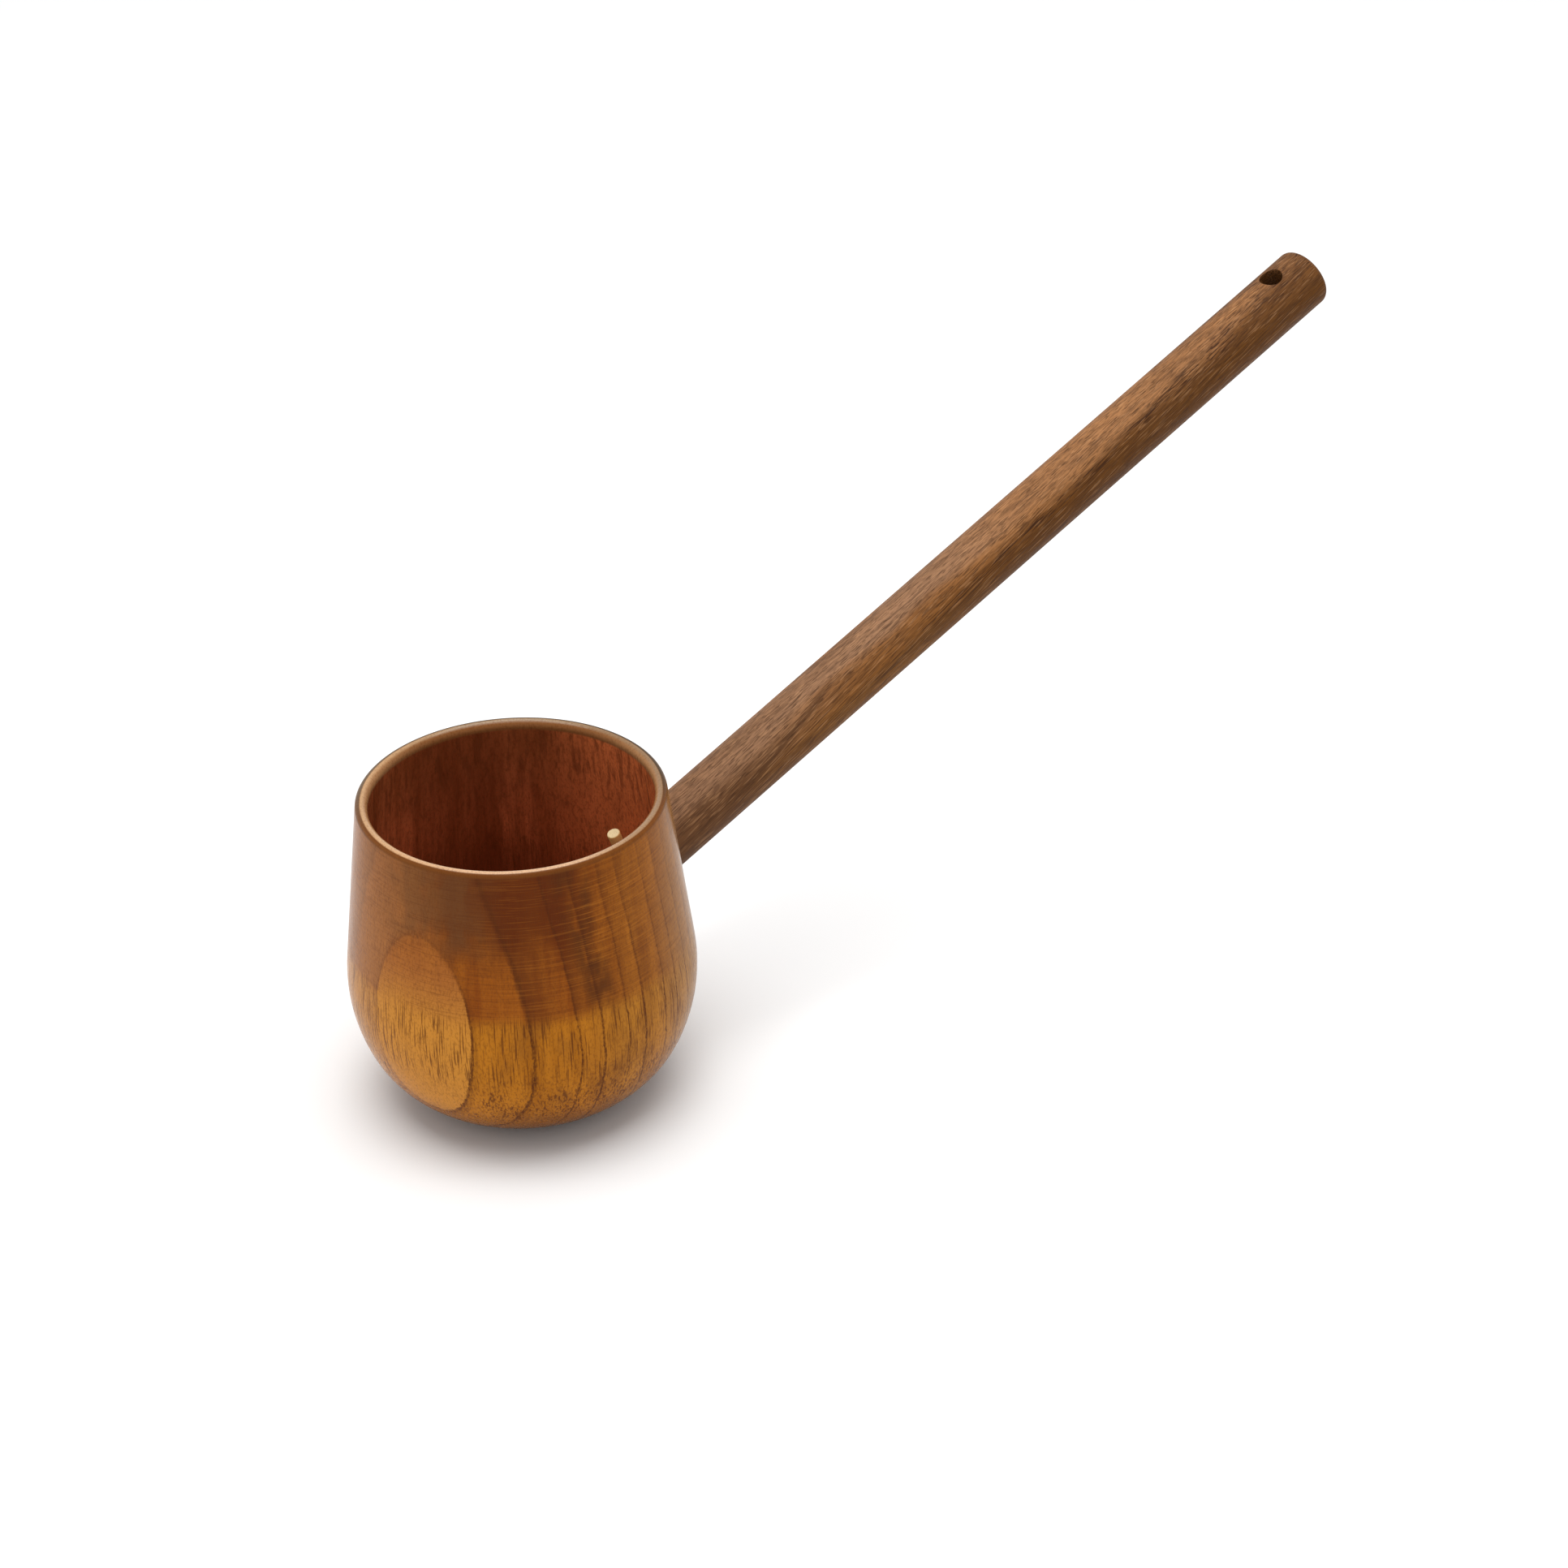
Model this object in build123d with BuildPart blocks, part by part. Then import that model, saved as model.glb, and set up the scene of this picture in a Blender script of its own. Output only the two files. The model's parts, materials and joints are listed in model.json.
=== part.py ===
"""Wooden water dipper: a turned cup, a round handle tenoned through its wall, and the peg that locks it.

Millimetres. The origin is the centre of the cup's base, +Z is the cup's axis and the handle rises towards +X.
"""

import os
from math import acos, asin, atan2, cos, degrees, hypot, radians, sin, tan

from build123d import *

# Cup, turned from one block
cup_height = 80.0
belly_diameter = 83.5
belly_height = 33.0  # centre of the ball that the belly is part of
heel_round = 27.0  # arc that brings the belly down to the flat base
rim_draw_in = 5.3  # how far the wall draws in from the belly to the rim, each side
wall_thickness = 3.9  # at the belly
lip_thickness = 3.0  # at the rim
outer_lip_ease = 1.1  # taken off the lip's outer edge
inner_lip_ease = 0.8  # taken off the lip's inner edge
floor_thickness = 10.0
bore_round = 20.0  # arc between the bore's wall and its floor

# Handle, a straight rod that ends in a thinner tenon
handle_diameter = 16.0
handle_length = 240.0  # along its axis, from the cup's outer wall to the far end
handle_tilt = 20.0  # degrees above level
handle_height = 48.0  # where its axis meets the cup's outer wall
handle_end_round = 1.8
tenon_diameter = 12.0
tenon_tail = 5.0  # tenon left beyond the peg
tenon_end_chamfer = 0.8

# Hanging hole, through the far end in the upright plane
hang_hole_diameter = 6.2
hang_hole_inset = 11.5  # from the far end to the hole's centre

# Locking peg, across the tenon just inside the wall
peg_diameter = 3.2
peg_above = 6.3  # stands above the tenon
peg_below = 0.6  # stands below the tenon
peg_edge_chamfer = 0.3

# Fits
cope_clearance = 0.1  # between the handle's coped shoulder and the wall
tenon_clearance = 0.1  # tenon in its mortise, all round
peg_clearance = 0.05  # peg in its hole, all round
peg_wall_clearance = 0.1  # between the peg's foot and the bore's wall

# Radii that several pieces share
belly_radius = belly_diameter / 2
rim_radius = belly_radius - rim_draw_in
mouth_radius = rim_radius - lip_thickness
tenon_radius = tenon_diameter / 2
peg_radius = peg_diameter / 2


def taper_lean(ball_radius, top_radius):
    """Lean of the straight taper from the belly's ball to the rim, in radians from upright."""
    rise = cup_height - belly_height
    return atan2(rise, top_radius) - acos(ball_radius / hypot(top_radius, rise))


def cup_outline(ball_radius, top_radius):
    """Half section of the solid cup: flat base, heel arc, ball-shaped belly, straight taper to the rim."""
    dip = asin((belly_height - heel_round) / (ball_radius - heel_round))
    lean = taper_lean(ball_radius, top_radius)
    heel_x = (ball_radius - heel_round) * cos(dip)
    taper_start = (ball_radius * cos(lean), belly_height + ball_radius * sin(lean))
    with BuildLine() as outline:
        Line((0, 0), (heel_x, 0))
        CenterArc((heel_x, heel_round), heel_round, -90, 90 - degrees(dip))
        CenterArc((0, belly_height), ball_radius, -degrees(dip), degrees(dip + lean))
        Polyline(taper_start, (top_radius, cup_height), (0, cup_height), (0, 0))
    make_face(outline.edges())


# Bore: a straight wall leans in from the belly to the mouth, and an arc joins it to the flat floor
bore_lean = atan2(belly_radius - wall_thickness - mouth_radius, cup_height - belly_height)
corner_height = floor_thickness + bore_round
floor_radius = mouth_radius + (cup_height - corner_height) * tan(bore_lean) - bore_round / cos(bore_lean)

# Handle axis: starts on the cup's outer wall and rises outwards
tilt = radians(handle_tilt)
outer_wall_x = rim_radius + (cup_height - handle_height) * tan(taper_lean(belly_radius, rim_radius))
handle_axis = Plane(
    origin=(outer_wall_x, 0, handle_height), x_dir=(-sin(tilt), 0, cos(tilt)), z_dir=(cos(tilt), 0, sin(tilt))
)

# Peg place: far enough back along the axis for the peg's foot to clear the bore's leaning wall
peg_drop = tenon_radius + peg_below
foot_height = handle_height - peg_drop * cos(tilt)
foot_wall_x = mouth_radius + (cup_height - foot_height) * tan(bore_lean) - peg_wall_clearance
foot_overlap = outer_wall_x + peg_drop * sin(tilt) - foot_wall_x
peg_setback = peg_radius + foot_overlap / (cos(tilt) + sin(tilt) * tan(bore_lean))
tenon_reach = peg_setback + peg_radius + tenon_tail


def cross_plane(distance):
    """Plane square across the handle, its normal pointing up, at a distance along the handle's axis."""
    return Plane(
        origin=handle_axis.offset(distance).origin, x_dir=handle_axis.z_dir, z_dir=handle_axis.x_dir
    )


with BuildPart() as cup:
    with BuildSketch(Plane.XZ):
        cup_outline(belly_radius, rim_radius)
        with BuildLine() as bore:
            Line((0, floor_thickness), (floor_radius, floor_thickness))
            corner = CenterArc((floor_radius, corner_height), bore_round, -90, 90 + degrees(bore_lean))
            Polyline(corner @ 1, (mouth_radius, cup_height), (0, cup_height), (0, floor_thickness))
        make_face(bore.edges(), mode=Mode.SUBTRACT)
    revolve(axis=Axis.Z)
    chamfer(cup.edges().group_by(Axis.Z)[-1].sort_by(SortBy.RADIUS)[-1], outer_lip_ease)
    chamfer(cup.edges().group_by(Axis.Z)[-1].sort_by(SortBy.RADIUS)[0], inner_lip_ease)
    with BuildSketch(handle_axis):
        Circle(tenon_radius + tenon_clearance)
    extrude(amount=tenon_reach, both=True, mode=Mode.SUBTRACT)

with BuildPart() as handle:
    with BuildSketch(handle_axis.offset(-handle_diameter)):
        Circle(handle_diameter / 2)
    extrude(amount=handle_diameter + handle_length)
    fillet(handle.faces().sort_by(Axis(handle_axis.origin, handle_axis.z_dir))[-1].edges(), handle_end_round)
    with BuildSketch(Plane.XZ):
        cup_outline(belly_radius + cope_clearance, rim_radius + cope_clearance)
    revolve(axis=Axis.Z, mode=Mode.SUBTRACT)
    with BuildSketch(handle_axis.offset(-tenon_reach)):
        Circle(tenon_radius)
    extrude(amount=tenon_reach + handle_diameter)
    tenon_end = handle.faces().sort_by(Axis(handle_axis.origin, handle_axis.z_dir))[0]
    chamfer(tenon_end.edges(), tenon_end_chamfer)
    with Locations(cross_plane(handle_length - hang_hole_inset)):
        Hole(hang_hole_diameter / 2)
    with Locations(cross_plane(-peg_setback)):
        Hole(peg_radius + peg_clearance)

with BuildPart() as locking_peg:
    with BuildSketch(cross_plane(-peg_setback).offset(-peg_drop)):
        Circle(peg_radius)
    extrude(amount=peg_drop + tenon_radius + peg_above)
    chamfer(locking_peg.edges().filter_by(GeomType.CIRCLE), peg_edge_chamfer)

cup.part.label = "cup"
handle.part.label = "handle"
locking_peg.part.label = "locking_peg"

os.makedirs("parts", exist_ok=True)
export_step(cup.part, "parts/cup.step")
export_step(handle.part, "parts/handle.step")
export_step(locking_peg.part, "parts/locking_peg.step")

print(f"peg axis {peg_setback:.2f} mm back from the outer wall, tenon {tenon_reach:.2f} mm long")
for piece in (cup.part, handle.part, locking_peg.part):
    print(f"{piece.label}: {piece.volume / 1000:.1f} cm3, box {piece.bounding_box().size}")
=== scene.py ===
# %% [markdown]
# # A turned wooden water dipper
# The dipper has a barrel-shaped cup turned from one block, a walnut rod for a handle, and a bamboo peg
# that locks the rod's tenon inside the cup. It could be modelled freely by eye, but its solids are
# already packed as a frame. Every piece made here takes the place of one of them, so its size and place
# are read from the frame wherever the frame can tell them.

# %% Load the frame
import json
from math import acos, asin, atan2, cos, degrees, hypot, pi, radians, sin, tan

import bmesh
import bpy
from mathutils import Matrix, Vector


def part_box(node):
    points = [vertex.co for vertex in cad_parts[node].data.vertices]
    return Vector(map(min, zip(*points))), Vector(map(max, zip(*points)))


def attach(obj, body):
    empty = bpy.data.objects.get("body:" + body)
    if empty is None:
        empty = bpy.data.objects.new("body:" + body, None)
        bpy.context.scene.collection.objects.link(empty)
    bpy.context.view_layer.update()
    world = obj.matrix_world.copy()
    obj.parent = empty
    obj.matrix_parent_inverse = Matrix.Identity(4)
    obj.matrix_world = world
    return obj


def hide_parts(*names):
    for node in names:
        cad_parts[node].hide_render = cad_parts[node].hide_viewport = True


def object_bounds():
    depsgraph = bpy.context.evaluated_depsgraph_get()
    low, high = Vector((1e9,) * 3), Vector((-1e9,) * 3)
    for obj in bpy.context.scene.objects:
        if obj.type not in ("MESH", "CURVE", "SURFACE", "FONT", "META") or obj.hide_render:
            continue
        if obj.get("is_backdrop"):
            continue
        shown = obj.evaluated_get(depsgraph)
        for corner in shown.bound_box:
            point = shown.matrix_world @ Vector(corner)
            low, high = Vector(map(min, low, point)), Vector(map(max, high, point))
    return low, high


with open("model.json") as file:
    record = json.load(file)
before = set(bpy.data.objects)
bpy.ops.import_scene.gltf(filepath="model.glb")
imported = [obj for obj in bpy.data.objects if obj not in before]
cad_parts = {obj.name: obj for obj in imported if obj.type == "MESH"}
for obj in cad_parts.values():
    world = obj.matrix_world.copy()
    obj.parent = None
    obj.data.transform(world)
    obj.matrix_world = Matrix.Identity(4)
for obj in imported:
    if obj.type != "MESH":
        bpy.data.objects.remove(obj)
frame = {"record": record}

cad_bounds = [list(corner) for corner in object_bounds()]
MM = 0.001
print("CAD box, mm:", [[round(value / MM, 2) for value in corner] for corner in cad_bounds])

# %% [markdown]
# ## Sizes and the rod's axis
# The cup's height and belly and the rod's thickness could be typed in, but typed numbers drift apart from
# the solids. We take them from the boxes of the solids instead, and write down only the rod's length and
# how far the hole lies from its end. The hanging hole crosses the rod at a right angle, so its direction
# also gives the rod's axis. Stepping back along that axis from the hole finds the point where the rod
# leaves the cup's wall.

# %% Sizes in millimetres, and the rod's axis
cup_low, cup_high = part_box("cup")
CUP_HEIGHT = (cup_high.z - cup_low.z) / MM
BELLY_RADIUS = (cup_high.y - cup_low.y) / 2 / MM

rod_low, rod_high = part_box("handle")
ROD_RADIUS = (rod_high.y - rod_low.y) / 2 / MM
ROD_LENGTH = 240.0
HOLE_INSET = 11.5

hang_hole = next(mount for mount in frame["record"]["mounts"] if mount["name"] == "hang_hole")
across = Vector(hang_hole["axis"])
along = Vector((across.z, 0, -across.x))
wall_point = Vector(hang_hole["pos_m"]) - along * (ROD_LENGTH - HOLE_INSET) * MM
ROD_TILT = asin(along.z)
print(f"cup: {CUP_HEIGHT:.2f} mm high, {2 * BELLY_RADIUS:.2f} mm across")
print(f"rod: radius {ROD_RADIUS:.2f} mm, tilt {degrees(ROD_TILT):.2f} degrees, from {wall_point / MM}")

# %% [markdown]
# ## One class for all node trees
# Geometry Nodes and shaders are both graphs of sockets. They could be wired in the editor, or node by
# node in long lists. A `Wire` is shorter: it holds one output socket, and writing `a * 2 + b` with wires
# adds the Math nodes for it, so that a mask reads like a formula. `node` adds anything else: its settings
# first, because they decide which sockets the node has, and then the values or wires of its sockets.

# %% The wire
def find_socket(sockets, key):
    """A socket by its number, its identifier or its name."""
    if isinstance(key, int):
        return sockets[key]
    for socket in sockets:
        if socket.identifier == key:
            return socket
    return sockets[key]


class Wire:
    """One output socket of a node tree, or the bare tree while socket is None."""

    def __init__(self, tree, socket=None):
        self.tree = tree
        self.socket = socket

    def node(self, kind, settings=None, inputs=None, output=0):
        """Adds a node, its settings first and then its sockets' values or wires. Gives one output."""
        made = self.tree.nodes.new(kind)
        for name, value in (settings or {}).items():
            if name == "stops":
                ramp = made.color_ramp.elements
                for position, _ in value[2:]:
                    ramp.new(position)
                for stop, (position, grey) in zip(ramp, value):
                    stop.position = position
                    stop.color = (grey, grey, grey, 1)
            else:
                setattr(made, name, value)
        for key, value in (inputs or {}).items():
            socket = find_socket(made.inputs, key)
            if isinstance(value, Wire):
                self.tree.links.new(value.socket, socket)
            else:
                socket.default_value = value
        return Wire(self.tree, find_socket(made.outputs, output) if len(made.outputs) else None)

    def math(self, operation, first, second):
        """A Math node on two numbers or wires."""
        return self.node("ShaderNodeMath", {"operation": operation}, {0: first, 1: second})

    def __add__(self, other):
        return self.math("ADD", self, other)

    def __sub__(self, other):
        return self.math("SUBTRACT", self, other)

    def __rsub__(self, other):
        return self.math("SUBTRACT", other, self)

    def __mul__(self, other):
        return self.math("MULTIPLY", self, other)

    def __truediv__(self, other):
        return self.math("DIVIDE", self, other)

    def __rtruediv__(self, other):
        return self.math("DIVIDE", other, self)

    def __pow__(self, power):
        return self.math("POWER", self, power)

    def __rpow__(self, base):
        return self.math("POWER", base, self)

    __radd__ = __add__
    __rmul__ = __mul__

    def smooth(self, low, high):
        """0 below low, 1 above high and a soft step between. With low above high it steps down."""
        settings = {"interpolation_type": "SMOOTHSTEP"}
        return self.node("ShaderNodeMapRange", settings, {"Value": self, "From Min": low, "From Max": high})

    def band(self, low, full, fade, high):
        """1 from full to fade, with soft steps down to 0 at low and at high."""
        return self.smooth(low, full) * self.smooth(high, fade)

    def mix(self, first, second):
        """The colour between two colours, by this wire."""
        inputs = {"Factor_Float": self, "A_Color": first, "B_Color": second}
        return self.node("ShaderNodeMix", {"data_type": "RGBA"}, inputs, "Result_Color")

    def split(self):
        """The three parts of a vector."""
        parts = self.node("ShaderNodeSeparateXYZ", None, {0: self}).socket.node
        return [Wire(self.tree, socket) for socket in parts.outputs]

    def noise(self, sizes, seed, detail=2.0):
        """Noise from 0 to 1 whose blots are about that long along X, Y and Z."""
        pitch = [1 / size for size in sizes]
        scaled = self.node("ShaderNodeVectorMath", {"operation": "MULTIPLY"}, {0: self, 1: pitch})
        inputs = {"Vector": scaled, "W": seed, "Scale": 1.0, "Detail": detail}
        return self.node("ShaderNodeTexNoise", {"noise_dimensions": "4D"}, inputs)

    def swing(self, sizes, seed, reach):
        """Noise that swings about zero, from end to end by reach."""
        return (self.noise(sizes, seed) - 0.5) * reach


wire_methods = [name for name in vars(Wire) if not name.startswith("__")]
print("besides its operators, a wire has:", ", ".join(wire_methods))

# %% [markdown]
# ## Finishes
# A finish on wood is built up in coats: bare wood, stain, grain and lacquer. It could be drawn as
# pictures and wrapped round the pieces, but a picture has seams and shows its pixels close up. We build
# it from formulas, coat by coat. `new_finish` sets what is the same all over on the shader's own sockets,
# `tint` lays one colour over another by a mask, as wiping on stain does, and `feed` links what changes
# over the surface.

# %% Helpers for finishes
RELIEF_DEPTH = 0.2 * MM


def rgb(red, green, blue):
    """A colour in linear light."""
    return (red, green, blue, 1.0)


def new_finish(name, sockets):
    """A material with the plain sockets of its Principled shader set, its tree as a wire, and the shader."""
    material = bpy.data.materials.new(name)
    material.use_nodes = True
    shader = material.node_tree.nodes["Principled BSDF"]
    for key, value in sockets.items():
        shader.inputs[key].default_value = value
    return material, Wire(material.node_tree), shader


def object_place(wire):
    """Object coordinates, in metres."""
    return wire.node("ShaderNodeTexCoord", None, None, "Object")


def tint(base, colour, mask, strength=1.0):
    """Lays a colour over a base by a mask, at most as thickly as strength says."""
    return (mask * strength).mix(base, colour)


def relief(height, strength):
    """A bump from a height of 0 to 1."""
    inputs = {"Strength": strength, "Distance": RELIEF_DEPTH, "Height": height}
    return height.node("ShaderNodeBump", None, inputs)


def feed(shader, **wires):
    """Links wires to the shader's sockets: base_color feeds Base Color, and so on."""
    for name, wire in wires.items():
        wire.tree.links.new(wire.socket, shader.inputs[name.replace("_", " ").title()])


def count_nodes(step, finish):
    """Says how far a finish has grown."""
    print(f"{step}: {finish.name} has {len(finish.node_tree.nodes)} nodes")


print("relief is at most", RELIEF_DEPTH / MM, "mm deep")

# %% [markdown]
# ## The cup's wood
# The cup is flat-sawn: its growth rings are nearly flat sheets, one behind the other, and the lathe cuts
# through them. They come out as lines that run up the wall and bend with it. A painted picture would have
# to imitate that, a solid pattern gives it for nothing: we number the sheets by their depth in the block,
# and the shape of the cup does the bending. The sheets curve about the tree's heart, which lies in front
# of the cup, and lean back near the rim. A colour ramp turns depth into rings: it leaps up at each ring
# and sinks slowly to the next.

# %% Ring sheets by depth
EYE_TURN = radians(-163.0)
HEART_DISTANCE = 170.0
SHEET_LEAN = 3.2
RING_DEPTHS = (11.3, 21.0, 26.7, 33.6, 38.6, 46.0, 51.0, 56.5, 61.9, 66.4, 72.4, 77.4)
RING_EDGE = 0.3
DEPTH_SPAN = 90.0

ring_stops = [(0.0, 0.0)]
for ring_depth in RING_DEPTHS:
    ring_stops.append(((ring_depth - RING_EDGE) / DEPTH_SPAN, 0.0))
    ring_stops.append((ring_depth / DEPTH_SPAN, 1.0))
ring_stops.append((1.0, 0.0))

wood, wood_wire, wood_shader = new_finish("lacquered_wood", {"IOR": 1.14, "Coat Roughness": 0.08})
wood_place = object_place(wood_wire)
spot = wood_wire.node("ShaderNodeVectorMath", {"operation": "SCALE"}, {0: wood_place, "Scale": 1 / MM})
x, y, z = spot.split()
toward_eye = x * cos(EYE_TURN) + y * sin(EYE_TURN)
beside_eye = y * cos(EYE_TURN) - x * sin(EYE_TURN)
heart_gap = ((HEART_DISTANCE - toward_eye) ** 2.0 + beside_eye ** 2.0) ** 0.5
depth = heart_gap - (HEART_DISTANCE - BELLY_RADIUS) + z.smooth(42.0, 86.0) * SHEET_LEAN
sway = spot.swing((24, 24, 90), 1.0, 1.6)
wobble = spot.swing((2.5, 2.5, 9), 2.0, 1.0) + spot.swing((0.6, 0.6, 1.4), 9.0, 0.8)
depth = depth + sway + wobble
ring = wood_wire.node("ShaderNodeValToRGB", {"stops": ring_stops}, {0: depth / DEPTH_SPAN})
ring_line = ring.smooth(0.88, 0.95)
late_wood = ring ** 1.3
print(len(RING_DEPTHS), "ring sheets, the first", RING_DEPTHS[0], "mm deep")

# %% [markdown]
# Where the belly just reaches the next sheet, that sheet shows as an oval eye with a dark rim. The rings'
# formula could make it too, but it would hang on a hair's breadth of depth and get a ragged border. We
# draw the oval itself instead: an egg, a little narrower at its top, where it also melts into the brown.
# Its rim is a crisp line with a fainter band round it, and it is strongest low on the right.

# %% The eye
EYE_HEIGHT = 37.2
EYE_HALF_HEIGHT = 24.6
EYE_HALF_WIDTH = 13.7
EYE_NARROWING = 0.045

above_eye = z - EYE_HEIGHT
egg_width = EYE_HALF_WIDTH - above_eye * EYE_NARROWING
egg = ((beside_eye / egg_width) ** 2.0 + (above_eye / EYE_HALF_HEIGHT) ** 2.0) ** 0.5
egg = egg + (spot.swing((9, 9, 14), 16.0, 0.08) + spot.swing((0.6, 0.6, 1.2), 17.0, 0.07))
facing_eye = toward_eye.smooth(0.0, 8.0)
softness = z.smooth(44.0, 60.0) * 0.07 + 0.022
eye = egg.smooth(1.0 + softness, 1.0 - softness) * facing_eye
round_eye = 1.0 - eye
line_and_band = egg.smooth(1.045, 1.025) * 0.65 + egg.smooth(1.12, 1.08) * 0.35
low_right = beside_eye.smooth(-4.0, 8.0) * z.smooth(58.0, 40.0) * 0.65 + 0.35
eye_rim = line_and_band * egg.smooth(0.985, 1.0) * facing_eye * low_right
print("eye:", 2 * EYE_HALF_WIDTH, "mm wide,", 2 * EYE_HALF_HEIGHT, "mm high")

# %% [markdown]
# Between the rings the wood has fine fibres and broad streaks that run up the cup, faint level lines from
# the lathe, and soft clouds and flecks. Each could be a brush stroke in a painting program. Stretched
# noise does it in one line: long along Z for what follows the fibres, thin along Z for what the lathe
# left.

# %% Fibres, streaks and clouds
fibre = spot.noise((0.6, 0.6, 30), 3.0, 3.0)
streak = spot.noise((3.5, 3.5, 110), 4.0, 4.0).smooth(0.35, 0.65)
lathe_line = spot.noise((10, 10, 0.3), 6.0, 4.0)
cloud = spot.noise((13, 13, 16), 7.0)
puff = spot.noise((6, 6, 11), 18.0, 3.0)
fleck = spot.noise((0.45, 0.45, 0.9), 19.0, 3.0)
count_nodes("fibres, streaks and clouds", wood)

# %% [markdown]
# The open pores are fine upright strokes on the belly, and where the wall turns under they are cut across
# and show as dots. One noise in the block could give both, but on a leaning wall its strokes would come
# out short and crooked. So the strokes follow the wall, by the way round the cup and the height, and only
# the dots are cut from the block. The front's direction is found here too, because the way round starts
# there.

# %% Pores
FRONT_TURN = radians(-125.5)
STROKES_END = 20.0
STROKES_FULL = 28.0

to_front = x * cos(FRONT_TURN) + y * sin(FRONT_TURN)
to_right = y * cos(FRONT_TURN) - x * sin(FRONT_TURN)
from_axis = (x ** 2.0 + y ** 2.0) ** 0.5
way_round = to_right.math("ARCTAN2", to_right, to_front) * BELLY_RADIUS
wall_spot = wood_wire.node("ShaderNodeCombineXYZ", None, {"X": way_round, "Y": from_axis, "Z": z})
stroke = wall_spot.noise((0.29, 2.5, 7.0), 5.0, 1.0).smooth(0.54, 0.61) * z.smooth(STROKES_END, STROKES_FULL)
dot = spot.noise((0.52, 0.52, 6.0), 25.0, 1.0).smooth(0.54, 0.6) * (1.0 - eye * 0.7)
pore = stroke + dot * z.smooth(STROKES_FULL, STROKES_END)
print("strokes above", STROKES_FULL, "mm, dots below", STROKES_END, "mm")

# %% [markdown]
# ## The cup's stain
# Below its middle the cup is golden, with broad streaks: deeper towards the foot, brighter left of the
# front, duller on the right, and mottled from the middle to the right. One even colour would look like
# plastic. A finisher wipes on one coat after another, and so do we: each line tints what is there, by
# height in millimetres or by the way to the right.

# %% Golden belly
AMBER = rgb(0.35, 0.115, 0.006)
HONEY = rgb(0.45, 0.158, 0.010)
DEEP_AMBER = rgb(0.25, 0.08, 0.008)
BRIGHT_HONEY = rgb(0.50, 0.18, 0.012)
DULL_HONEY = rgb(0.41, 0.175, 0.025)
MOTTLE = rgb(0.21, 0.072, 0.010)

golden = streak.mix(AMBER, HONEY)
golden = tint(golden, DEEP_AMBER, z.smooth(22.0, 6.0), 0.75)
golden = tint(golden, BRIGHT_HONEY, to_right.smooth(0.0, -14.0), 0.6)
golden = tint(golden, DULL_HONEY, to_right.smooth(10.0, 26.0), 0.5)
mottled = puff.smooth(0.42, 0.66) * to_right.smooth(-16.0, 2.0)
golden = tint(golden, MOTTLE, mottled, 0.45)
count_nodes("golden belly", wood)

# %% [markdown]
# The upper wall is brown, and there each ring trails a wide smoky shadow, while in the gold it is only a
# thin line. At the front the border between the two is sharp, as if the cup had been dipped. A step in
# height would make that everywhere, so we let the step grow wide towards the back, and a cloud keeps it
# from being a ruled line.

# %% Brown wall
CHESTNUT = rgb(0.22, 0.052, 0.004)
RUSSET = rgb(0.31, 0.086, 0.007)
RING_SHADOW = rgb(0.10, 0.024, 0.004)
STAIN_BORDER = 42.5

blur = to_front.smooth(10.0, -10.0) * 14.0 + 2.5
upper = (z + (cloud - 0.5) * 5.0).smooth(STAIN_BORDER - blur, STAIN_BORDER + blur)
lower = 1.0 - upper
right_side = to_right.smooth(8.0, 30.0)
brown = streak.mix(CHESTNUT, RUSSET)
brown = tint(brown, golden, right_side, 0.4)
stain = upper.mix(golden, brown)
shadow = late_wood * upper * (1.0 - right_side * 0.55)
stain = tint(stain, RING_SHADOW, shadow, 0.75)
count_nodes("brown wall", wood)

# %% [markdown]
# Towards its sides the cup is paler and greyer, and the eye is the clearest wood of all, brightest in its
# lower half. Light alone would pale the sides a little. The rest is tinted in, partly the wood's own colour
# and partly a painted reflection of the white surroundings that the sides catch at a slant, and it stays
# when the light moves.

# %% Pale sides, partly painted reflection, and the eye's colour
PALE_TAN_AND_REFLECTION = rgb(0.52, 0.235, 0.06)
GREY_TAN_AND_REFLECTION = rgb(0.37, 0.21, 0.075)
EYE_ABOVE = rgb(0.42, 0.145, 0.030)
EYE_BELOW = rgb(0.57, 0.235, 0.034)

# The sides' paleness and greyness are partly wood colour and partly painted reflection of the white
# surroundings.
pale_side_and_reflection = to_right.smooth(-27.0, -38.0) * (lower * 0.55 + 0.35)
stain = tint(stain, PALE_TAN_AND_REFLECTION, pale_side_and_reflection, 0.9)
stain = tint(stain, GREY_TAN_AND_REFLECTION, to_right.smooth(28.0, 41.0), 0.5)
eye_colour = (z + (cloud - 0.5) * 6.0).smooth(54.0, 38.0).mix(EYE_ABOVE, EYE_BELOW)
stain = tint(stain, eye_colour, eye, 0.45 + z.smooth(62.0, 44.0) * 0.4)
count_nodes("pale sides and eye", wood)

# %% [markdown]
# The darkest marks come last: a band below the rim at the front, a smoky patch along the rings, tan and a
# dull smudge above the eye, and painted shade that darkens the foot. Each could be a blot in a picture. As
# masks, they follow what they belong to: the patch keeps to its rings by their depth, and band, tan and
# smudge keep clear of the eye.

# %% Smoke, smudge and the foot's painted shade
RIM_BROWN = rgb(0.095, 0.016, 0.002)
SMOKE = rgb(0.075, 0.022, 0.005)
WARM_TAN = rgb(0.38, 0.155, 0.048)
SMUDGE = rgb(0.15, 0.062, 0.02)
FOOT_SHADE = rgb(0.13, 0.05, 0.012)

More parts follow.
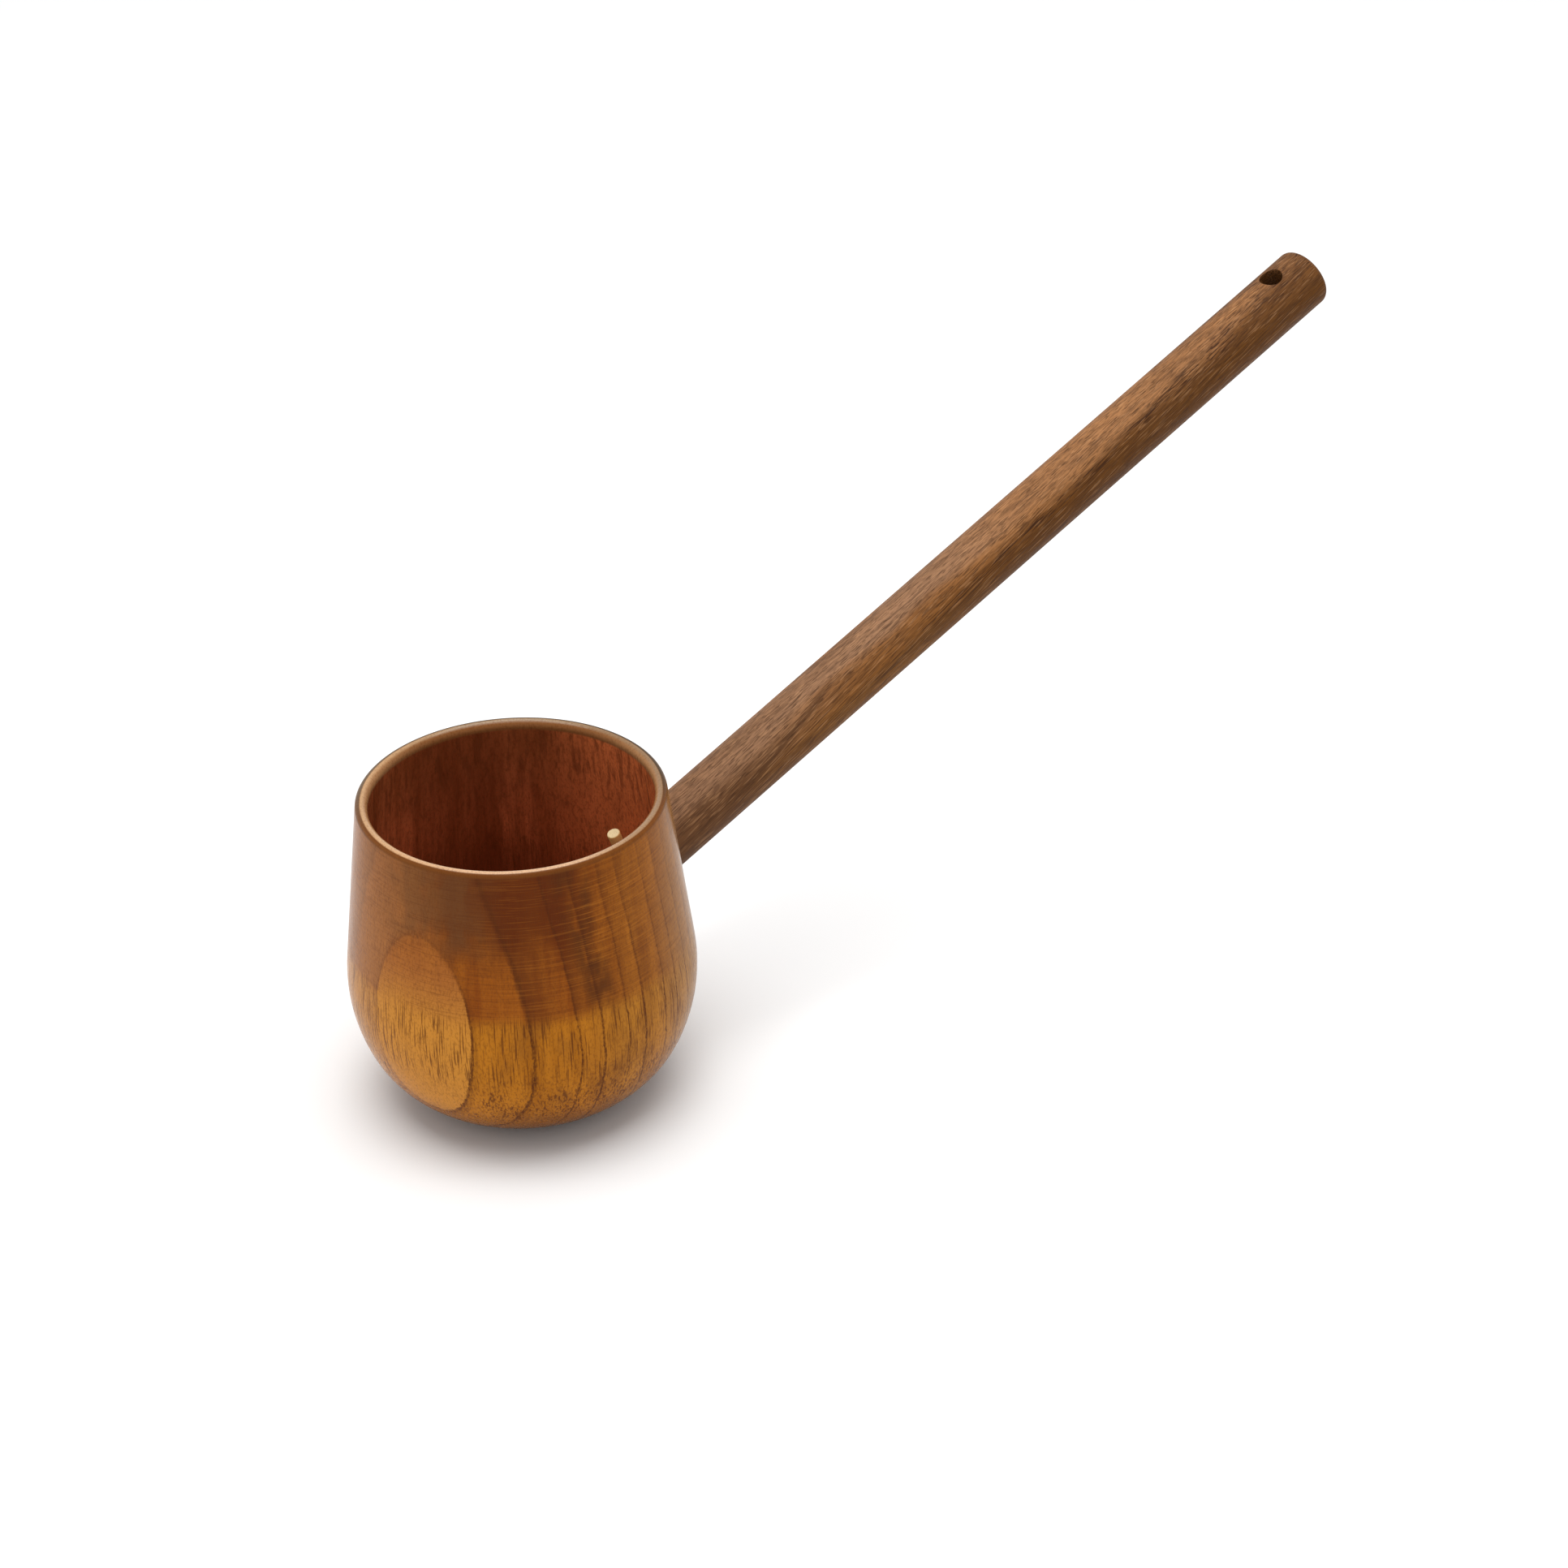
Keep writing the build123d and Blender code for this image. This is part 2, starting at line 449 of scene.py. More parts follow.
front = to_front.smooth(0.0, 12.0)
rim_band = (z + (puff - 0.5) * 22.0).smooth(52.0, 68.0) * to_right.band(-28.0, -14.0, 8.0, 22.0)
stain = tint(stain, RIM_BROWN, rim_band * front * round_eye, 0.8)
smoky = depth.band(22.0, 26.0, 29.0, 33.0) * z.smooth(38.0, 46.0) * puff.smooth(0.38, 0.58)
stain = tint(stain, SMOKE, smoky * front, 0.75)
tan_side = to_right.smooth(-14.0, -30.0) * upper * round_eye
stain = tint(stain, WARM_TAN, tan_side, 0.6)
smudged = z.smooth(54.0, 64.0) * to_right.band(-34.0, -24.0, -14.0, -2.0) * puff.smooth(0.3, 0.6)
stain = tint(stain, SMUDGE, smudged * round_eye, 0.6)
# Painted shade: the foot is darkened towards the floor.
stain = tint(stain, FOOT_SHADE, z.smooth(17.0, 3.0), 0.7)
count_nodes("smoke, smudge and foot", wood)

# %% [markdown]
# Inside, the cup is redder and deeper, with dark upright threads, blotches below the rim, painted shade
# further down in the bore and a clearer right side. A second material could do that, but then the lip would
# need a seam. One material knows the inside by the surface's normal: there it points towards the axis or up.

# %% Inside
DARK_RED = rgb(0.33, 0.078, 0.024)
CLEAR_RED = rgb(0.56, 0.145, 0.050)
THREAD = rgb(0.17, 0.036, 0.011)
UNDER_RIM = rgb(0.19, 0.050, 0.014)
DEEP_SHADE = rgb(0.13, 0.028, 0.010)
DARK_BAND = rgb(0.15, 0.030, 0.009)
BRIGHT_RED = rgb(0.80, 0.21, 0.066)
BLOTCH = rgb(0.12, 0.03, 0.01)
SPECK = rgb(0.12, 0.024, 0.007)
AXIS_GUARD = 0.01

normal_x, normal_y, normal_z = wood_wire.node("ShaderNodeNewGeometry", None, None, "Normal").split()
inward = normal_z - (normal_x * x + normal_y * y) / (from_axis + AXIS_GUARD)
inside = inward.smooth(-0.1, 0.3)
bore = spot.noise((6.0, 6.0, 140), 8.0, 3.0).smooth(0.38, 0.62).mix(DARK_RED, CLEAR_RED)
bore = tint(bore, THREAD, 1.0 - spot.noise((1.1, 1.1, 45), 22.0, 3.0).smooth(0.36, 0.64), 0.38)
bore = tint(bore, UNDER_RIM, z.smooth(52.0, 76.0), 0.6)
# Painted shade: the bore is darkened further down, where less light reaches.
bore = tint(bore, DEEP_SHADE, z.smooth(52.0, 36.0), 0.45)
bore = tint(bore, DARK_BAND, to_right.band(-28.0, -18.0, -8.0, 4.0), 0.5)
bore = tint(bore, BRIGHT_RED, to_right.smooth(4.0, 26.0), 0.75)
blotched = spot.noise((1.4, 1.4, 9.0), 24.0).smooth(0.5, 0.62) * z.smooth(58.0, 70.0)
bore = tint(bore, BLOTCH, blotched, 0.5)
specked = spot.noise((0.9, 0.9, 2.6), 23.0).smooth(0.52, 0.64) * 0.3
bore = tint(bore, SPECK, specked + puff.smooth(0.5, 0.66) * 0.25)
bare = inside.mix(stain, bore)
count_nodes("inside", wood)

# %% [markdown]
# The lip's crown carries a painted highlight, palest at the front, its inner round is tan, and its outer
# flank is dark. An edge mask from the mesh would mark all edges alike. The lip is round about the cup's
# axis, so the distance from the axis tells crown, round and flank apart, and the way round sets the colour
# of each and how bright the painted highlight is.

# %% Lip with its painted highlight
GREY_FLANK = rgb(0.13, 0.085, 0.05)
DARK_FLANK = rgb(0.06, 0.038, 0.019)
FRONT_FLANK = rgb(0.15, 0.048, 0.009)
BACK_ROUND = rgb(0.22, 0.085, 0.026)
SIDE_ROUND = rgb(0.34, 0.165, 0.066)
DULL_HIGHLIGHT = rgb(0.23, 0.145, 0.078)
PALE_HIGHLIGHT = rgb(0.36, 0.24, 0.135)
FRONT_HIGHLIGHT = rgb(0.68, 0.41, 0.23)
LEFT_HIGHLIGHT = rgb(0.58, 0.32, 0.14)
RIGHT_HIGHLIGHT = rgb(0.21, 0.11, 0.042)
CROWN_START = 34.0
CROWN_FULL = 34.8
CROWN_END = 35.25
CROWN_RIM_BLUR = 0.2

lip = (z + inside).smooth(CUP_HEIGHT - 1.5, CUP_HEIGHT - 0.8)
flank = to_right.smooth(-30.0, 0.0).mix(GREY_FLANK, DARK_FLANK)
flank = to_front.smooth(-8.0, 16.0).mix(flank, FRONT_FLANK)
inner_round = to_front.smooth(-31.0, -12.0).mix(BACK_ROUND, SIDE_ROUND)
crown_rim = to_front.smooth(-5.0, 25.0) * 0.6 + CROWN_END
crown_rim_in = crown_rim - CROWN_RIM_BLUR
crown_rim_out = crown_rim + CROWN_RIM_BLUR
bare = tint(bare, from_axis.smooth(crown_rim_in, crown_rim_out).mix(inner_round, flank), lip, 0.8 + inside * 0.2)
# The crown's pale colour is a painted highlight of the overhead light, palest at the front.
crown = lip * from_axis.band(CROWN_START, CROWN_FULL, crown_rim_in, crown_rim_out)
painted_highlight = fibre.mix(DULL_HIGHLIGHT, PALE_HIGHLIGHT)
painted_highlight = tint(painted_highlight, FRONT_HIGHLIGHT, to_front.smooth(5.0, 34.0), 0.85)
painted_highlight = tint(painted_highlight, LEFT_HIGHLIGHT, to_right.smooth(-8.0, -32.0), 0.65)
painted_highlight = tint(painted_highlight, RIGHT_HIGHLIGHT, to_right.smooth(10.0, 30.0), 0.65)
bare = tint(bare, painted_highlight, crown, 0.9)
count_nodes("worn lip", wood)

# %% [markdown]
# The dark grain goes over the stain: ring lines, the eye's rim, pores and freckles. A ring is a row of
# pores more than a pen line, so noise breaks it into beads. It is faint left of the eye and high on the
# right, and the lip has none. The pores are open in the gold and nearly filled above it.

# %% Ring lines and pores
RING_INK = rgb(0.075, 0.018, 0.003)
PORE_INK = rgb(0.10, 0.025, 0.004)
FRECKLE = rgb(0.12, 0.03, 0.004)

below_lip = 1.0 - lip
open_wall = (1.0 - inside) * below_lip
beads = fibre.smooth(0.3, 0.55) * 0.4 + fleck.smooth(0.4, 0.56) * 0.6
faint_left = 1.0 - toward_eye.smooth(8.0, 22.0) * beside_eye.smooth(-10.0, -18.0) * 0.85
faint_right = 1.0 - z.smooth(56.0, 72.0) * to_right.smooth(6.0, 20.0) * 0.75
ring_ink = ring_line * faint_left * (beads * 0.6 + 0.3) * (1.0 - upper * 0.45)
rim_ink = eye_rim * (beads * 0.4 + 0.4)
grain = tint(bare, RING_INK, (ring_ink + rim_ink) * faint_right * open_wall)
open_grain = z.smooth(8.0, 15.0) * lower * puff.smooth(0.3, 0.52) * 0.6 + 0.14
grain = tint(grain, PORE_INK, pore * open_grain * below_lip)
freckled = z.smooth(34.0, 16.0) * round_eye * 0.25 + 0.3
grain = tint(grain, FRECKLE, fleck.smooth(0.48, 0.64) * freckled)
count_nodes("ring lines and pores", wood)

# %% [markdown]
# On the brown wall the lathe's level lines show, dark ones all along the front and golden ones most in a
# patch on the right, where they cross the rings like a weave. Over everything lies clear lacquer. It
# fills most of the grain, so the bump is shallow and the gloss is nearly even, and the crown, which carries
# the painted highlight, gets a thin second coat, which catches light.

# %% Lathe lines and lacquer
DARK_LINE = rgb(0.085, 0.02, 0.004)
GOLD_LINE = rgb(0.46, 0.16, 0.018)

turned_wall = upper * open_wall * front
grain = tint(grain, DARK_LINE, lathe_line.smooth(0.5, 0.6) * turned_wall, 0.24)
woven = to_right.band(11.0, 17.0, 25.0, 34.0) * z.band(50.0, 58.0, 70.0, 77.0)
gold_strength = to_right.smooth(-18.0, 0.0) * 0.15 + woven * 0.2
grain = tint(grain, GOLD_LINE, lathe_line.smooth(0.46, 0.38) * turned_wall, gold_strength)
wood_gloss = 0.16 + pore * 0.1 + cloud * 0.08
wood_bump = relief(fibre * 0.2 - stroke * 0.5, 0.08)
feed(wood_shader, base_color=grain, roughness=wood_gloss, coat_weight=crown * 0.5, normal=wood_bump)
count_nodes("lathe lines and lacquer", wood)

# %% [markdown]
# ## The rod's walnut
# The handle is walnut with a satin oil, its grain along the rod and a little slanted. A cylinder's UV map
# would do for a straight rod, but its end and its holes would need maps of their own. Solid noise needs
# none. Object coordinates run level, so a Mapping node turns them by the rod's tilt: X then runs along
# the rod from the cup's wall, and Z is the height over its axis.

# %% Walnut grain
GRAIN_SLANT = radians(4.5)


def rod_place(wire, shift=(0, 0, 0)):
    """Object coordinates in millimetres, turned so that X runs along the rod, and moved."""
    inputs = {"Vector": object_place(wire), "Location": shift, "Rotation": (0, ROD_TILT, 0)}
    inputs["Scale"] = (1 / MM, 1 / MM, 1 / MM)
    return wire.node("ShaderNodeMapping", {"vector_type": "POINT"}, inputs)


walnut, walnut_wire, walnut_shader = new_finish("walnut", {"IOR": 1.19})
to_wall = -(Matrix.Rotation(ROD_TILT, 3, "Y") @ wall_point) / MM
rod_spot = rod_place(walnut_wire, to_wall)
reach, _, over_axis = rod_spot.split()
rotation = {"Vector": rod_spot, "Rotation": (0, GRAIN_SLANT, 0)}
slanted = walnut_wire.node("ShaderNodeVectorRotate", {"rotation_type": "EULER_XYZ"}, rotation)
broad_band = slanted.noise((60, 3.0, 3.0), 11.0, 3.0).smooth(0.36, 0.64)
fine_band = slanted.noise((18, 0.4, 0.4), 12.0, 4.0).smooth(0.42, 0.56)
furrow = slanted.noise((5.0, 0.24, 0.24), 13.0, 1.0).smooth(0.55, 0.61)
pale_thread = slanted.noise((7.0, 0.32, 0.32), 15.0, 1.0).smooth(0.56, 0.66)
vein = slanted.noise((48, 0.38, 0.38), 20.0, 2.0).smooth(0.54, 0.59)
haze = rod_spot.noise((26, 6, 6), 14.0, 3.0) - 0.5
tone = broad_band * 0.4 + fine_band * 0.6
count_nodes("walnut grain", walnut)

# %% [markdown]
# The walnut's broad colours: painted light along its top and painted shade along its underside, warm in
# the near half, paler further out on the upper side with a painted sheen there, dark near the cup, and dark
# again below a border that climbs slowly along the rod. A gradient along the rod alone would look painted
# on, so each zone has a reach along the rod and a height over its axis, and a haze shifts the heights.

# %% Broad colours of the walnut
UNDERSIDE_SHADE = rgb(0.20, 0.078, 0.014)
TOPSIDE_LIGHT = rgb(0.31, 0.16, 0.082)
WARM_WALNUT = rgb(0.24, 0.090, 0.019)
PALE_WALNUT_AND_SHEEN = rgb(0.36, 0.158, 0.056)
NEAR_CUP = rgb(0.12, 0.052, 0.022)
DUSK = rgb(0.105, 0.036, 0.004)
DARK_CLIMB = 0.042
DARK_DROP = 1.8

level = over_axis + haze * 5.0
# Painted light and shade: the top is lighter and the underside darker, as the light falls from above.
walnut_and_painted_light = level.smooth(0.5, 7.5).mix(UNDERSIDE_SHADE, TOPSIDE_LIGHT)
warm = reach.band(30.0, 70.0, 140.0, 175.0) * level.band(0.0, 2.5, 5.6, 7.6)
walnut_and_painted_light = tint(walnut_and_painted_light, WARM_WALNUT, warm, 0.8)
# Paler walnut with a painted sheen on the upper side, further out along the rod.
pale_and_sheen = reach.band(95.0, 140.0, 226.0, 262.0) * level.smooth(3.2, 6.2)
walnut_and_painted_light = tint(walnut_and_painted_light, PALE_WALNUT_AND_SHEEN, pale_and_sheen, 0.85)
walnut_and_painted_light = tint(walnut_and_painted_light, NEAR_CUP, reach.smooth(60.0, 15.0), level.smooth(7.5, 3.5) * 0.5 + 0.3)
dusky = (level - reach * DARK_CLIMB + DARK_DROP).smooth(1.6, -1.4) * reach.smooth(60.0, 140.0)
walnut_and_painted_light = tint(walnut_and_painted_light, DUSK, dusky, 0.8)
print("dark border climbs", round(DARK_CLIMB * ROD_LENGTH, 1), "mm along the rod")

# %% [markdown]
# Over the broad colours go dark and pale threads, veins, which gather along the dark border, one dark
# flame that crosses the rod near the cup, and the furrows of walnut's open pores. The furrows could be
# carved into the mesh, but they are only a quarter of a millimetre wide. They are felt as well as seen,
# so they also drive the bump.

# %% Threads, flame and furrows of the walnut
DARK_THREAD = rgb(0.06, 0.021, 0.005)
VEIN = rgb(0.035, 0.011, 0.003)
FLAME = rgb(0.05, 0.018, 0.006)
PALE_THREAD = rgb(0.46, 0.24, 0.11)
FURROW = rgb(0.04, 0.014, 0.004)
FLAME_START = 12.5
FLAME_CLIMB = 0.135

calm_level = over_axis + haze * 1.8
border = calm_level - reach * DARK_CLIMB + DARK_DROP
along_border = border.band(-2.6, -0.6, 0.1, 1.3) * reach.smooth(64.0, 100.0)
flame = calm_level - (reach - FLAME_START) * FLAME_CLIMB
flaming = flame.band(-0.7, 0.0, 0.3, 1.1) * reach.band(18.0, 34.0, 72.0, 88.0) * level.smooth(7.6, 5.0)
walnut_and_painted_light = tint(walnut_and_painted_light, DARK_THREAD, 1.0 - tone, 0.58)
walnut_and_painted_light = tint(walnut_and_painted_light, VEIN, vein, 0.28 + along_border * 0.6)
walnut_and_painted_light = tint(walnut_and_painted_light, FLAME, flaming, 0.35 + fine_band * 0.3)
walnut_and_painted_light = tint(walnut_and_painted_light, PALE_THREAD, pale_thread, 0.3)
walnut_and_painted_light = tint(walnut_and_painted_light, FURROW, furrow, 0.55)
walnut_bump = relief(fine_band * 0.4 - furrow, 0.3)
feed(walnut_shader, base_color=walnut_and_painted_light, roughness=0.5 + tone * 0.12, normal=walnut_bump)
count_nodes("threads, flame and furrows", walnut)

# %% [markdown]
# ## The peg's bamboo
# The peg is a bamboo stick. Cut across, it shows the dark dots of its fibre bundles, and along its side
# the same bundles are fine lines. Dots and lines could be two patterns. Noise that is long along the peg
# gives both at once, as real bundles do, and the normal tells the pale cut end from the side, which is
# yellower and also brightened as painted light where it stands in the cup's shade.

# %% Bamboo
CUT_END = rgb(0.78, 0.63, 0.36)
BUNDLE = rgb(0.45, 0.25, 0.09)
# The side's colour is bamboo's yellower skin, brightened as painted light for the shade inside the cup.
PEG_SIDE_WITH_PAINTED_LIGHT = rgb(0.98, 0.68, 0.24)

bamboo, bamboo_wire, bamboo_shader = new_finish("bamboo", {"Roughness": 0.6, "IOR": 1.3})
bundle = rod_place(bamboo_wire).noise((0.28, 0.28, 9), 21.0, 1.0).smooth(0.55, 0.68)
dotted = (bundle * 0.55).mix(CUT_END, BUNDLE)
peg_normal = bamboo_wire.node("ShaderNodeNewGeometry", None, None, "Normal")
product = {0: peg_normal, 1: across}
facing_up = bamboo_wire.node("ShaderNodeVectorMath", {"operation": "DOT_PRODUCT"}, product, "Value")
feed(bamboo_shader, base_color=facing_up.smooth(0.5, 0.9).mix(PEG_SIDE_WITH_PAINTED_LIGHT, dotted))
count_nodes("peg", bamboo)

# %% [markdown]
# ## Outlines for the lathe
# A turned piece is known by half of its outline, from the axis at the bottom, out, up and back to the
# axis. It could be a long list of points. A Bezier curve draws it with very few, since an arc of up to a
# quarter turn needs only its two ends and two handles, and its corners and arcs stay where the sizes put
# them.

# %% The outline pen
STEPS_PER_SPAN = 14


def add_object(name, data):
    """A new object in the scene."""
    made = bpy.data.objects.new(name, data)
    bpy.context.collection.objects.link(made)
    return made


class Outline:
    """Half an outline, in millimetres as (radius, height)."""

    def __init__(self, radius, height):
        self.points = [Vector((radius, height))]
        self.handles = [[None, None]]

    def line_to(self, radius, height):
        """A straight line to a point."""
        start = self.points[-1]
        end = Vector((radius, height))
        self.handles[-1][1] = start.lerp(end, 1 / 3)
        self.handles.append([start.lerp(end, 2 / 3), None])
        self.points.append(end)
        return self

    def arc(self, radius, height, sweep):
        """An arc about a centre, anticlockwise where sweep is positive."""
        centre = Vector((radius, height))
        spoke = self.points[-1] - centre
        end_spoke = Matrix.Rotation(sweep, 2) @ spoke
        pull = 4 / 3 * tan(sweep / 4)
        self.handles[-1][1] = self.points[-1] + pull * spoke.orthogonal()
        self.handles.append([centre + end_spoke - pull * end_spoke.orthogonal(), None])
        self.points.append(centre + end_spoke)
        return self

    def curve(self, name):
        """The outline as a curve object in metres, lying in XY with the height along -Y."""
        data = bpy.data.curves.new(name, "CURVE")
        data.dimensions = "3D"
        data.resolution_u = STEPS_PER_SPAN
        spline = data.splines.new("BEZIER")
        spline.bezier_points.add(len(self.points) - 1)
        for knot, point, (before, after) in zip(spline.bezier_points, self.points, self.handles):
            knot.handle_left_type = knot.handle_right_type = "FREE"
            knot.co, knot.handle_left, knot.handle_right = (
                Vector((end.x, -end.y, 0)) * MM for end in (point, before or point, after or point)
            )
        return add_object(name, data)


print("outline pen ready,", STEPS_PER_SPAN, "steps to a span")

# %% [markdown]
# ## The lathe, in Geometry Nodes
# Every piece of this dipper is round about one axis, so one rule makes them all: sweep the outline round
# a guide circle, weld the points that meet on the axis, and shade the skin smooth. The Screw modifier
# could do this too. As nodes, the rule has its sizes as named inputs, and the same tree serves the cup,
# the rod, the peg and the cutters.

# %% The lathe tree
lathe = bpy.data.node_groups.new("lathe", "GeometryNodeTree")
SOCKETS = (
    ("Geometry", "INPUT", "NodeSocketGeometry"),
    ("Outline", "INPUT", "NodeSocketObject"),
    ("Guide radius", "INPUT", "NodeSocketFloat"),
    ("Steps round", "INPUT", "NodeSocketInt"),
    ("Finish", "INPUT", "NodeSocketMaterial"),
    ("Geometry", "OUTPUT", "NodeSocketGeometry"),
)
WELD_DISTANCE = 1e-6
lathe_inputs = {}
for socket_name, side_of_tree, socket_type in SOCKETS:
    made_socket = lathe.interface.new_socket(socket_name, in_out=side_of_tree, socket_type=socket_type)
    if side_of_tree == "INPUT":
        lathe_inputs[socket_name] = made_socket.identifier

bench = Wire(lathe)
group = bench.node("NodeGroupInput").socket.node
given = {name: Wire(lathe, find_socket(group.outputs, key)) for name, key in lathe_inputs.items()}
circle = {"Resolution": given["Steps round"], "Radius": given["Guide radius"]}
guide = bench.node("GeometryNodeCurvePrimitiveCircle", {"mode": "RADIUS"}, circle)
profile = bench.node("GeometryNodeObjectInfo", None, {"Object": given["Outline"]}, "Geometry")
to_axis = bench.node("ShaderNodeCombineXYZ", None, {"X": 0.0 - given["Guide radius"]})
profile = bench.node("GeometryNodeTransform", None, {"Geometry": profile, "Translation": to_axis})
skin = bench.node("GeometryNodeCurveToMesh", None, {"Curve": guide, "Profile Curve": profile})
skin = bench.node("GeometryNodeMergeByDistance", None, {"Geometry": skin, "Distance": WELD_DISTANCE})
skin = bench.node("GeometryNodeSetShadeSmooth", None, {"Geometry": skin})
skin = bench.node("GeometryNodeRealizeInstances", None, {"Geometry": skin})
skin = bench.node("GeometryNodeSetMaterial", None, {"Geometry": skin, "Material": given["Finish"]})
bench.node("NodeGroupOutput", None, {0: skin})
print("lathe:", len(lathe.nodes), "nodes")

# %% [markdown]
# A small helper chucks an outline in the lathe and takes a plain mesh back. The modifier could stay live
# on the piece, but a plain mesh is what the frame and the export expect. The helper also checks the
# volume: if that comes out negative, the skin is inside out and is flipped.

# %% Turning a piece
GUIDE_RADIUS = 10.0 * MM
CM3 = (10 * MM) ** 3


def evaluated_mesh(piece):
    """The piece's mesh as its modifiers leave it."""
    graph = bpy.context.evaluated_depsgraph_get()
    return bpy.data.meshes.new_from_object(piece.evaluated_get(graph), depsgraph=graph)


def turn_piece(name, outline, finish, steps, seat=Matrix.Identity(4)):
    """A closed turned mesh of an outline, put in its place by seat. The object stays at the origin."""
    curve = outline.curve(name + "_outline")
    piece = add_object(name, bpy.data.meshes.new(name))
    modifier = piece.modifiers.new("lathe", "NODES")
    modifier.node_group = lathe
    modifier[lathe_inputs["Outline"]] = curve
    modifier[lathe_inputs["Guide radius"]] = GUIDE_RADIUS
    modifier[lathe_inputs["Steps round"]] = steps
    modifier[lathe_inputs["Finish"]] = finish
    mesh = evaluated_mesh(piece)
    piece.modifiers.remove(modifier)
    bpy.data.objects.remove(curve)
    work = bmesh.new()
    work.from_mesh(mesh)
    if work.calc_volume(signed=True) < 0:
        bmesh.ops.reverse_faces(work, faces=work.faces)
    volume = work.calc_volume(signed=True)
    work.to_mesh(mesh)
    work.free()
    mesh.transform(seat)
    mesh.name = name
    piece.data = mesh
    print(f"{name}: {len(mesh.polygons)} faces, {volume / CM3:.2f} cm3")
    return piece


print("guide circle:", GUIDE_RADIUS / MM, "mm in radius")

# %% [markdown]
# ## The cup's skin
# The outside rises from a small flat base over a round heel to a ball-shaped belly and on in a straight
# taper. The lip is rounded on both edges. The bore has a straight wall, a rounded corner and a flat
# floor. An outer shell with Solidify would give one thickness everywhere. One unbroken outline lets
# floor, wall and lip differ, and its skin is closed from the start. What the frame can't tell, such as
# the heel's arc, is written down here.

# %% Cup outline
BELLY_HEIGHT = 33.0
HEEL_ROUND = 27.0
RIM_DRAW_IN = 5.3
RIM_RADIUS = BELLY_RADIUS - RIM_DRAW_IN
LIP_THICKNESS = 3.0
MOUTH_RADIUS = RIM_RADIUS - LIP_THICKNESS
WALL_THICKNESS = 3.9
FLOOR_THICKNESS = 10.0
BORE_ROUND = 20.0
OUTER_LIP_ROUND = 1.2
INNER_LIP_ROUND = 1.7
CUP_STEPS = 192

rise = CUP_HEIGHT - BELLY_HEIGHT
bore_lean = atan2(BELLY_RADIUS - WALL_THICKNESS - MOUTH_RADIUS, rise)
corner_height = FLOOR_THICKNESS + BORE_ROUND
floor_radius = MOUTH_RADIUS + (CUP_HEIGHT - corner_height) * tan(bore_lean) - BORE_ROUND / cos(bore_lean)


def cup_outside(growth=0.0):
    """Outline of the cup's outside up to its taper, the taper's radius at the rim, and its lean."""
    ball = BELLY_RADIUS + growth
    top = RIM_RADIUS + growth
    dip = asin((BELLY_HEIGHT - HEEL_ROUND) / (ball - HEEL_ROUND))
    lean = atan2(rise, top) - acos(ball / hypot(top, rise))
    heel = (ball - HEEL_ROUND) * cos(dip)
    outside = Outline(0, 0).line_to(heel, 0)
    outside.arc(heel, HEEL_ROUND, pi / 2 - dip).arc(0, BELLY_HEIGHT, dip + lean)
    return outside, top, lean


def slope(lean):
    """Direction square to a wall that leans in."""
    return Vector((cos(lean), sin(lean)))


cup_outline, rim_top, wall_lean = cup_outside()
outer_lip_x = rim_top + OUTER_LIP_ROUND * (tan(wall_lean) - 1 / cos(wall_lean))
inner_lip_x = MOUTH_RADIUS + INNER_LIP_ROUND * (tan(bore_lean) + 1 / cos(bore_lean))
outer_lip = Vector((outer_lip_x, CUP_HEIGHT - OUTER_LIP_ROUND))
wall_foot = Vector((floor_radius, corner_height)) + BORE_ROUND * slope(bore_lean)
cup_outline.line_to(*(outer_lip + OUTER_LIP_ROUND * slope(wall_lean)))
cup_outline.arc(*outer_lip, pi / 2 - wall_lean).line_to(inner_lip_x, CUP_HEIGHT)
cup_outline.arc(inner_lip_x, CUP_HEIGHT - INNER_LIP_ROUND, pi / 2 + bore_lean).line_to(*wall_foot)
cup_outline.arc(floor_radius, corner_height, -pi / 2 - bore_lean).line_to(0, FLOOR_THICKNESS)
cup = turn_piece("cup_turned", cup_outline, wood, CUP_STEPS)

# %% [markdown]
# ## The rod and its tenon
# The handle is a rod with a thinner tenon at its inner end, and a shoulder that is coped to the cup's
# round wall. A saw can't make that shoulder, and pulling points about would only come near it. A cutter
# of the cup's own shape can: we turn the rod too long, cut the cup's outside off it with a hair of
# clearance, and then add the tenon.

# %% Rod, tenon and their cutters
ROD_OVERLAP = 16.0
ROD_END_ROUND = 1.8
TENON_RADIUS = 6.0
TENON_END_CHAMFER = 0.8
COPE_CLEARANCE = 0.1
TENON_CLEARANCE = 0.1
MORTISE_REACH = 30.0
ROD_STEPS = 96

rod_seat = Matrix.Translation(wall_point) @ Matrix.Rotation(pi / 2 - ROD_TILT, 4, "Y")
tenon_back = (wall_point.x - rod_low.x) / MM
tenon_end_radius = TENON_RADIUS - TENON_END_CHAMFER
tenon_reach = (tenon_back - tenon_end_radius * sin(ROD_TILT)) / cos(ROD_TILT)


def stick(radius, low, high):
    """Outline of a plain round stick."""
    return Outline(0, low).line_to(radius, low).line_to(radius, high).line_to(0, high)


